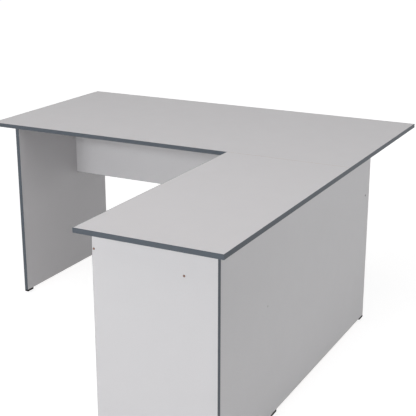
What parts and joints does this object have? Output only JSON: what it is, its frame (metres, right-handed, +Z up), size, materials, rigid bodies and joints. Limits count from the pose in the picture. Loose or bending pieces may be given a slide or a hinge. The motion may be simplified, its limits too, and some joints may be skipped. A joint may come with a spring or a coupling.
{
  "type": "l-shaped office desk",
  "caption": "L-shaped office desk: a main worktop and a return in light grey board with dark edge bands, on panel legs with a modesty panel and screw-in levelling feet.",
  "frame": {"origin": "on the floor, under the middle of the desk's outer box", "axes": "+X right along the main worktop, +Y from the return's free end to the back edge, +Z up"},
  "size_m": [1.6, 1.8, 0.75],
  "materials": {
    "melamine_board": "light grey melamine facing on chipboard, fine satin texture",
    "edge_band": "slate grey plastic edge band, satin",
    "foot_plastic": "black moulded plastic",
    "zinc_plated_steel": "bright zinc plating",
    "zinc_alloy": "die-cast zinc alloy",
    "dowel_wood": "bare beech",
    "brown_plug": "reddish brown plastic",
    "grey_plug": "mid grey plastic"
  },
  "bodies": {
    "desk": {"main_top": "melamine_board", "return_top": "melamine_board", "left_end_panel": "melamine_board", "return_end_panel": "melamine_board", "right_side_panel": "melamine_board", "modesty_panel": "melamine_board", "main_front_band": "edge_band", "main_back_band": "edge_band", "main_left_band": "edge_band", "main_right_band": "edge_band", "return_front_band": "edge_band", "return_left_band": "edge_band", "return_right_band": "edge_band", "left_panel_front_band": "edge_band", "left_panel_rear_band": "edge_band", "end_panel_left_band": "edge_band", "end_panel_right_band": "edge_band", "right_panel_rear_band": "edge_band", "modesty_bottom_band": "edge_band", "cam_locks": "zinc_alloy", "cam_bolts": "zinc_plated_steel", "panel_dowels": "dowel_wood", "seam_dowels": "dowel_wood", "end_panel_plugs": "brown_plug", "side_panel_plugs": "grey_plug", "seam_plate_screws": "zinc_plated_steel", "seam_plates": "zinc_plated_steel", "foot_inserts": "zinc_plated_steel"},
    "left_front_shoe": {"left_front_foot_shoe": "foot_plastic"},
    "left_front_stem": {"left_front_foot_stem": "zinc_plated_steel"},
    "left_rear_shoe": {"left_rear_foot_shoe": "foot_plastic"},
    "left_rear_stem": {"left_rear_foot_stem": "zinc_plated_steel"},
    "end_left_shoe": {"end_left_foot_shoe": "foot_plastic"},
    "end_left_stem": {"end_left_foot_stem": "zinc_plated_steel"},
    "end_right_shoe": {"end_right_foot_shoe": "foot_plastic"},
    "end_right_stem": {"end_right_foot_stem": "zinc_plated_steel"},
    "right_middle_shoe": {"right_middle_foot_shoe": "foot_plastic"},
    "right_middle_stem": {"right_middle_foot_stem": "zinc_plated_steel"},
    "right_rear_shoe": {"right_rear_foot_shoe": "foot_plastic"},
    "right_rear_stem": {"right_rear_foot_stem": "zinc_plated_steel"}
  },
  "joints": [
    {"name": "left_front_foot_height", "type": "slide", "parent": "desk", "child": "left_front_shoe", "axis": [0, 0, -1], "range_m": [0, 0.01]},
    {"name": "left_front_foot_turn", "type": "hinge", "parent": "left_front_shoe", "child": "left_front_stem", "pos_m": [-0.672, 0.1205, 0], "axis": [0, 0, -1], "range_deg": [0, 3601]},
    {"name": "left_rear_foot_height", "type": "slide", "parent": "desk", "child": "left_rear_shoe", "axis": [0, 0, -1], "range_m": [0, 0.01]},
    {"name": "left_rear_foot_turn", "type": "hinge", "parent": "left_rear_shoe", "child": "left_rear_stem", "pos_m": [-0.672, 0.7195, 0], "axis": [0, 0, -1], "range_deg": [0, 3601]},
    {"name": "end_left_foot_height", "type": "slide", "parent": "desk", "child": "end_left_shoe", "axis": [0, 0, -1], "range_m": [0, 0.01]},
    {"name": "end_left_foot_turn", "type": "hinge", "parent": "end_left_shoe", "child": "end_left_stem", "pos_m": [0.3305, -0.797, 0], "axis": [0, 0, -1], "range_deg": [0, 3601]},
    {"name": "end_right_foot_height", "type": "slide", "parent": "desk", "child": "end_right_shoe", "axis": [0, 0, -1], "range_m": [0, 0.01]},
    {"name": "end_right_foot_turn", "type": "hinge", "parent": "end_right_shoe", "child": "end_right_stem", "pos_m": [0.7145, -0.797, 0], "axis": [0, 0, -1], "range_deg": [0, 3601]},
    {"name": "right_middle_foot_height", "type": "slide", "parent": "desk", "child": "right_middle_shoe", "axis": [0, 0, -1], "range_m": [0, 0.01]},
    {"name": "right_middle_foot_turn", "type": "hinge", "parent": "right_middle_shoe", "child": "right_middle_stem", "pos_m": [0.727, -0.385, 0], "axis": [0, 0, -1], "range_deg": [0, 3601]},
    {"name": "right_rear_foot_height", "type": "slide", "parent": "desk", "child": "right_rear_shoe", "axis": [0, 0, -1], "range_m": [0, 0.01]},
    {"name": "right_rear_foot_turn", "type": "hinge", "parent": "right_rear_shoe", "child": "right_rear_stem", "pos_m": [0.727, 0.5055, 0], "axis": [0, 0, -1], "range_deg": [0, 3601]}
  ],
  "couplings": [
    {"joint": "left_front_foot_turn", "follows": "left_front_foot_height", "rad_per_m": 6283.2},
    {"joint": "left_rear_foot_turn", "follows": "left_rear_foot_height", "rad_per_m": 6283.2},
    {"joint": "end_left_foot_turn", "follows": "end_left_foot_height", "rad_per_m": 6283.2},
    {"joint": "end_right_foot_turn", "follows": "end_right_foot_height", "rad_per_m": 6283.2},
    {"joint": "right_middle_foot_turn", "follows": "right_middle_foot_height", "rad_per_m": 6283.2},
    {"joint": "right_rear_foot_turn", "follows": "right_rear_foot_height", "rad_per_m": 6283.2}
  ]
}
